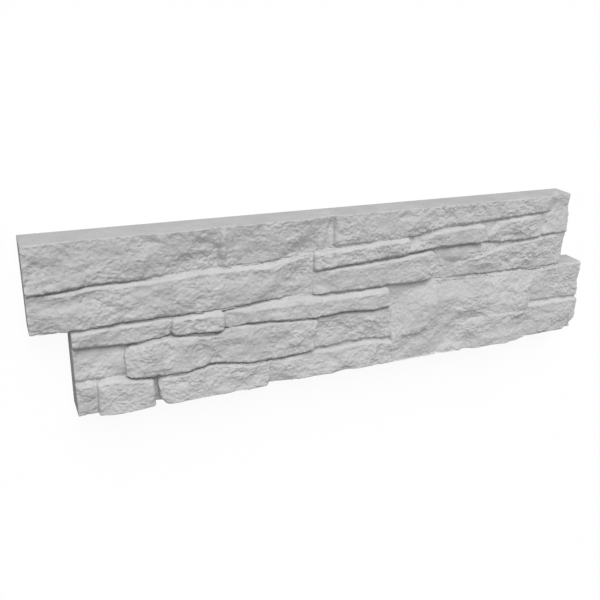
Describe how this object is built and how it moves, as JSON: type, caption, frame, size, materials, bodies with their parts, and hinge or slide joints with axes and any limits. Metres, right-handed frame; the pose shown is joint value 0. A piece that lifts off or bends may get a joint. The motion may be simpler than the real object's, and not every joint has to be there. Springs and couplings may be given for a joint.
{
  "type": "decorative stone cladding tile",
  "caption": "Z-shaped cast cladding tile with a flat back and a dry-stone split-face relief, stepped ends interlocking with its neighbours on a wall.",
  "frame": {"origin": "middle of the tile's overall rectangle, on its flat back", "axes": "+X along the tile's length towards the end where the lower half stands out, +Y up the tile's face as it hangs on a wall, +Z out of the wall"},
  "size_m": [0.55, 0.15, 0.0368],
  "materials": {
    "cast_stone": "light grey cast stone, matt, fine-grained and rough on the face, smooth on its moulded sides"
  },
  "bodies": {
    "root": {"cladding_tile": "cast_stone"}
  },
  "joints": []
}
